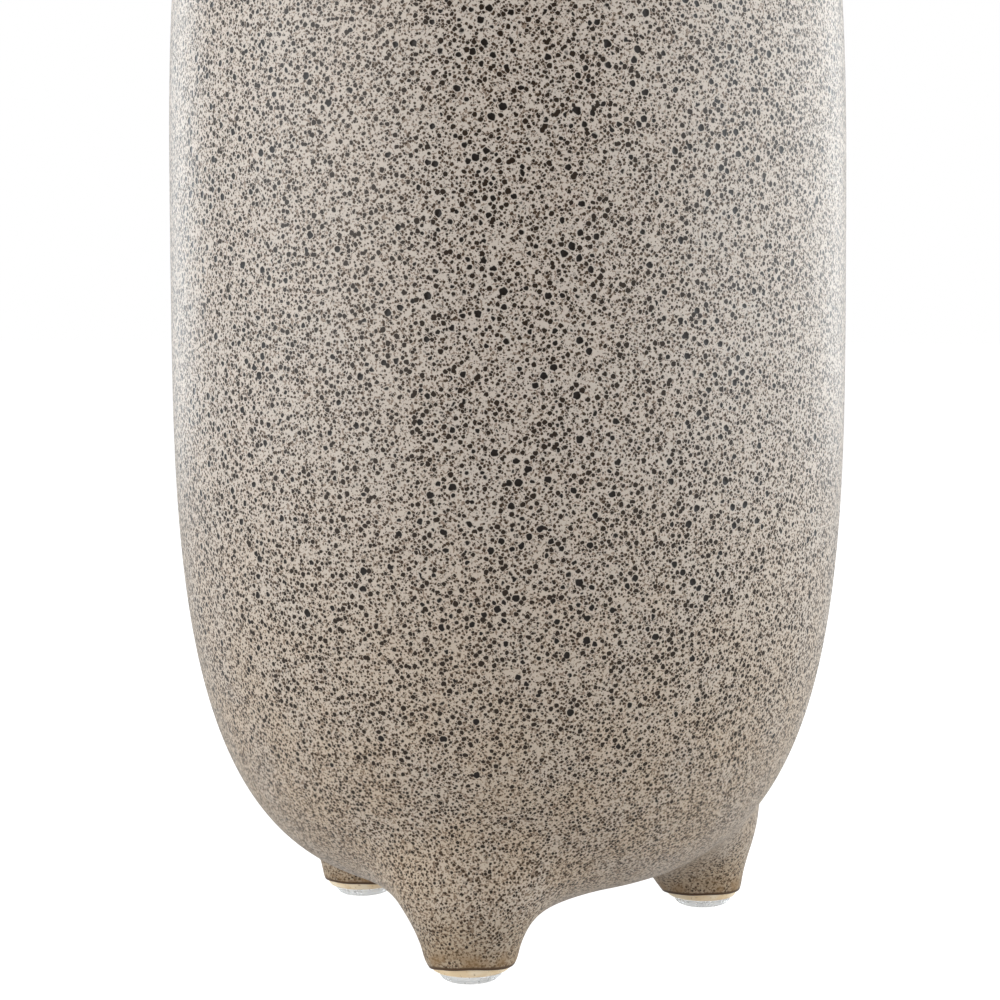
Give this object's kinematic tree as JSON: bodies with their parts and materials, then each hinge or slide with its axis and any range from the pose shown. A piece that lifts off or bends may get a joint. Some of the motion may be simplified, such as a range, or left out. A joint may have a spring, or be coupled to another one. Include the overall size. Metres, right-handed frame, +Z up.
{
  "type": "vase",
  "caption": "Tall rounded stoneware vase with a short neck and lip, standing on stub feet with clear pads under them, speckled glaze outside.",
  "frame": {"origin": "on the body axis, on the plane the silicone pads rest on", "axes": "+Z up along the body axis; one foot points along -Y, the other two are 120 degrees from it"},
  "size_m": [0.137, 0.137, 0.3],
  "materials": {
    "clay": "bare fired buff stoneware, matt",
    "pads": "clear silicone, soft gloss",
    "adhesive": "thin clear adhesive film",
    "outer_glaze": "satin beige-grey reactive glaze with dark brown specks and pits",
    "liner_glaze": "glossy grey-beige liner glaze"
  },
  "bodies": {
    "root": {"body": "clay", "neck": "clay", "foot_front": "clay", "foot_right": "clay", "foot_left": "clay", "pad_front": "pads", "pad_right": "pads", "pad_left": "pads", "adhesive_front": "adhesive", "adhesive_right": "adhesive", "adhesive_left": "adhesive", "outer_glaze": "outer_glaze", "liner_glaze": "liner_glaze"}
  },
  "joints": []
}
